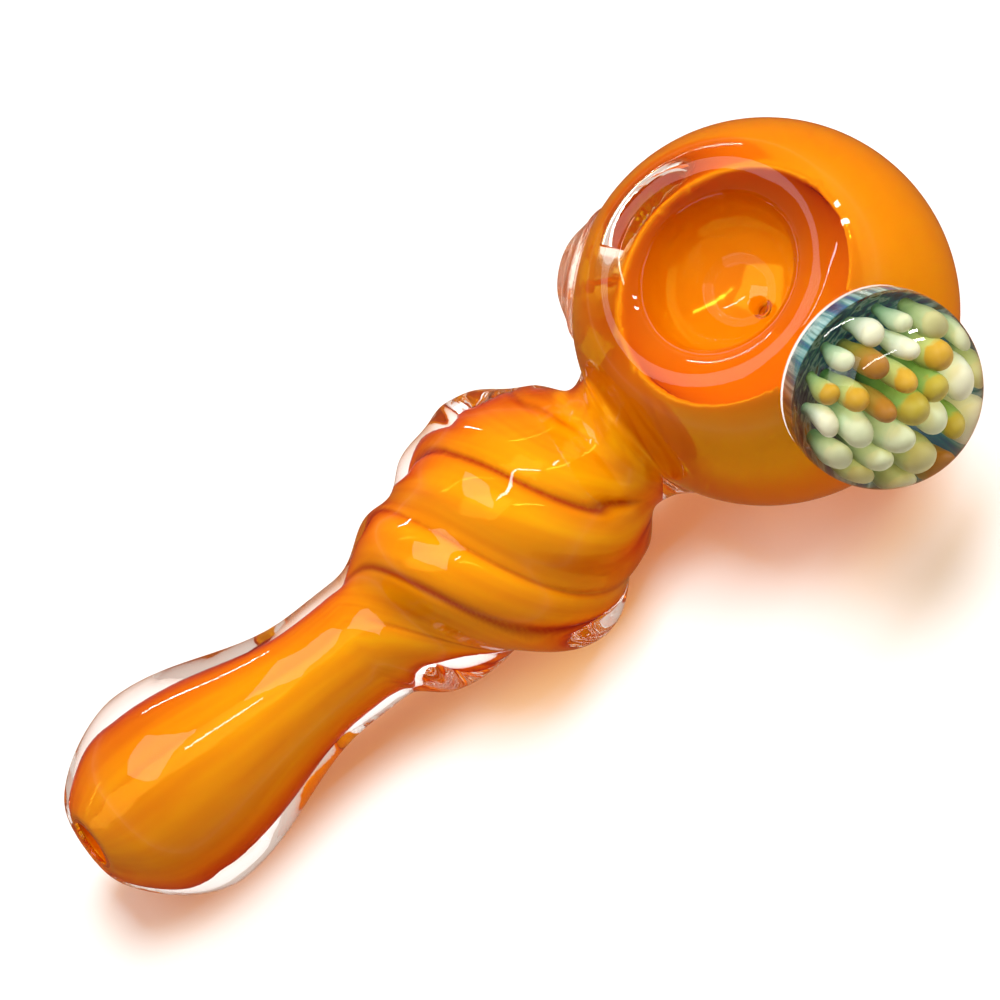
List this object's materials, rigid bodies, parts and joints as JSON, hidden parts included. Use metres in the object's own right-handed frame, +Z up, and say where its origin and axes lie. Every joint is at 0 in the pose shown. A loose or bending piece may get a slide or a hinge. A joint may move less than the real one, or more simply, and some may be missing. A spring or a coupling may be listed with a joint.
{
  "type": "glass hand pipe",
  "caption": "Hand-blown glass spoon pipe: clear glass over an amber lining, twisted handle, round head with a bowl, and a clear marble holding a flower of glass petals.",
  "frame": {"origin": "centre of the flat foot ground under the head", "axes": "+X from the mouthpiece to the head, +Y to the side of the carb hole, -Y to the side of the marble, +Z up out of the bowl"},
  "size_m": [0.1145, 0.0483, 0.0362],
  "materials": {
    "clear_glass": "clear, fire-polished",
    "amber_glass": "deep amber, glossy",
    "carb_glass": "clear, fire-polished",
    "marble_glass": "clear, fire-polished",
    "backing_glass": "streaked blue-green",
    "petal_glass_0": "milky, fused in clear glass",
    "petal_glass_1": "milky, fused in clear glass",
    "petal_glass_2": "milky, fused in clear glass",
    "petal_glass_3": "milky, fused in clear glass"
  },
  "bodies": {
    "root": {"clear_casing": "clear_glass", "amber_lining": "amber_glass", "carb_ring": "carb_glass", "marble_lens": "marble_glass", "marble_backing": "backing_glass", "petal_01": "petal_glass_0", "petal_02": "petal_glass_1", "petal_03": "petal_glass_1", "petal_04": "petal_glass_1", "petal_05": "petal_glass_1", "petal_06": "petal_glass_1", "petal_07": "petal_glass_2", "petal_08": "petal_glass_2", "petal_09": "petal_glass_2", "petal_10": "petal_glass_2", "petal_11": "petal_glass_2", "petal_12": "petal_glass_2", "petal_13": "petal_glass_2", "petal_14": "petal_glass_2", "petal_15": "petal_glass_2", "petal_16": "petal_glass_3", "petal_17": "petal_glass_3", "petal_18": "petal_glass_3", "petal_19": "petal_glass_3", "petal_20": "petal_glass_3", "petal_21": "petal_glass_3", "petal_22": "petal_glass_3", "petal_23": "petal_glass_3", "petal_24": "petal_glass_3", "petal_25": "petal_glass_3", "petal_26": "petal_glass_3", "petal_27": "petal_glass_3", "petal_28": "petal_glass_3"}
  },
  "joints": []
}
